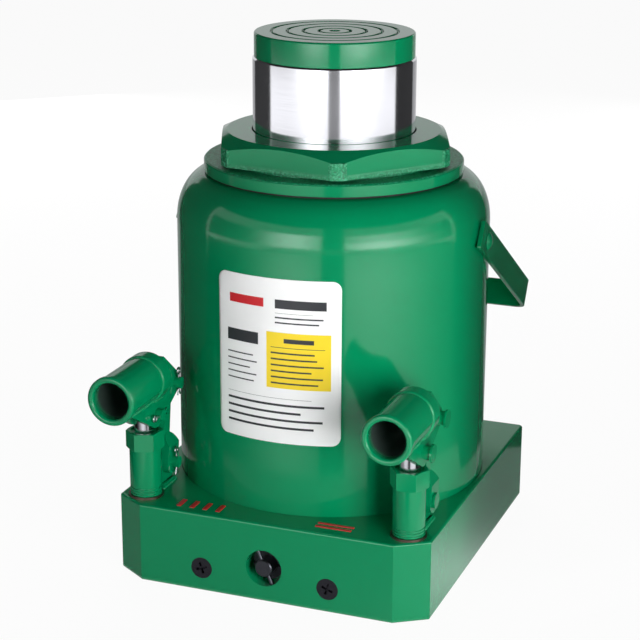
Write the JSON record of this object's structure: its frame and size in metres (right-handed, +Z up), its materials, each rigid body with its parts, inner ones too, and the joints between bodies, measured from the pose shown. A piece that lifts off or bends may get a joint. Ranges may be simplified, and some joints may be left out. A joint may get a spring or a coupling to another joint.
{
  "type": "hydraulic bottle jack",
  "caption": "Heavy upright hydraulic jack: square base, round oil tank, large chromed ram with a ringed saddle, two hand pumps with tube handle sockets, release valve and swinging bail.",
  "frame": {"origin": "on the tank's axis, at the base's underside", "axes": "+Z up along the ram, -Y out of the front face with the pumps and the release valve, +X right"},
  "size_m": [0.2264, 0.2782, 0.3599],
  "materials": {
    "green_enamel": "gloss",
    "chrome": "polished",
    "machined_steel": "machined",
    "dark_steel": "blackened",
    "bright_zinc": "bright",
    "copper": "satin",
    "bronze": "satin",
    "black_rubber": "matt"
  },
  "bodies": {
    "root": {"base_block": "green_enamel", "reservoir_shell": "green_enamel", "reservoir_base_seal": "black_rubber", "reservoir_top_seal": "black_rubber", "main_cylinder": "machined_steel", "cylinder_foot_ring": "copper", "top_nut": "green_enamel", "guide_bush": "bronze", "wiper_ring": "black_rubber", "release_gland": "dark_steel", "release_ball": "machined_steel", "front_plugs": "dark_steel", "check_balls": "machined_steel", "suction_strainers": "bronze", "filler_plug": "green_enamel", "bail_bosses": "green_enamel", "left_pump_body": "green_enamel", "left_pump_washer": "copper", "left_plunger_packing": "black_rubber", "left_gland_nut": "green_enamel", "left_foot_lug": "green_enamel", "left_foot_pin": "green_enamel", "left_foot_split_pin": "bright_zinc", "right_pump_body": "green_enamel", "right_pump_washer": "copper", "right_plunger_packing": "black_rubber", "right_gland_nut": "green_enamel", "right_foot_lug": "green_enamel", "right_foot_pin": "green_enamel", "right_foot_split_pin": "bright_zinc"},
    "ram": {"ram": "chrome", "piston": "machined_steel", "piston_cup_seal": "black_rubber", "piston_guide_ring": "bronze", "saddle": "green_enamel"},
    "release_valve": {"release_stem": "dark_steel", "release_cross_pin": "dark_steel"},
    "bail": {"bail_strap": "green_enamel"},
    "left_plunger": {"left_plunger": "chrome"},
    "left_handle_socket": {"left_handle_socket": "green_enamel", "left_plunger_pin": "green_enamel", "left_link_pin": "green_enamel", "left_socket_split_pins": "bright_zinc"},
    "left_link": {"left_connecting_link": "green_enamel"},
    "right_plunger": {"right_plunger": "chrome"},
    "right_handle_socket": {"right_handle_socket": "green_enamel", "right_plunger_pin": "green_enamel", "right_link_pin": "green_enamel", "right_socket_split_pins": "bright_zinc"},
    "right_link": {"right_connecting_link": "green_enamel"}
  },
  "joints": [
    {"name": "ram_slide", "type": "slide", "parent": "root", "child": "ram", "axis": [0, 0, 1], "range_m": [-0.025, 0.155]},
    {"name": "release_valve_turn", "type": "hinge", "parent": "root", "child": "release_valve", "pos_m": [0, -0.1277, 0.0237], "axis": [0, -1, 0], "range_deg": [0, 270]},
    {"name": "bail_swing", "type": "hinge", "parent": "root", "child": "bail", "pos_m": [0, 0, 0.2259], "axis": [1, 0, 0], "range_deg": [0, 90]},
    {"name": "left_plunger_slide", "type": "slide", "parent": "root", "child": "left_plunger", "axis": [0, 0, 1], "range_m": [0, 0.02171]},
    {"name": "left_socket_swing", "type": "hinge", "parent": "left_plunger", "child": "left_handle_socket", "pos_m": [-0.0937, -0.109, 0.114], "axis": [-1, 0, 0], "range_deg": [0, 40]},
    {"name": "left_link_rock", "type": "hinge", "parent": "root", "child": "left_link", "pos_m": [-0.0937, -0.087, 0.0725], "axis": [-1, 0, 0], "range_deg": [0, 2.01]},
    {"name": "right_plunger_slide", "type": "slide", "parent": "root", "child": "right_plunger", "axis": [0, 0, 1], "range_m": [0, 0.02171]},
    {"name": "right_socket_swing", "type": "hinge", "parent": "right_plunger", "child": "right_handle_socket", "pos_m": [0.0937, -0.109, 0.114], "axis": [-1, 0, 0], "range_deg": [0, 40]},
    {"name": "right_link_rock", "type": "hinge", "parent": "root", "child": "right_link", "pos_m": [0.0937, -0.087, 0.0725], "axis": [-1, 0, 0], "range_deg": [0, 2.01]}
  ],
  "couplings": [
    {"joint": "left_plunger_slide", "follows": "left_socket_swing", "m_per_rad": 0.030813},
    {"joint": "left_link_rock", "follows": "left_socket_swing", "ratio": 0.047822},
    {"joint": "right_plunger_slide", "follows": "right_socket_swing", "m_per_rad": 0.030813},
    {"joint": "right_link_rock", "follows": "right_socket_swing", "ratio": 0.047822}
  ]
}
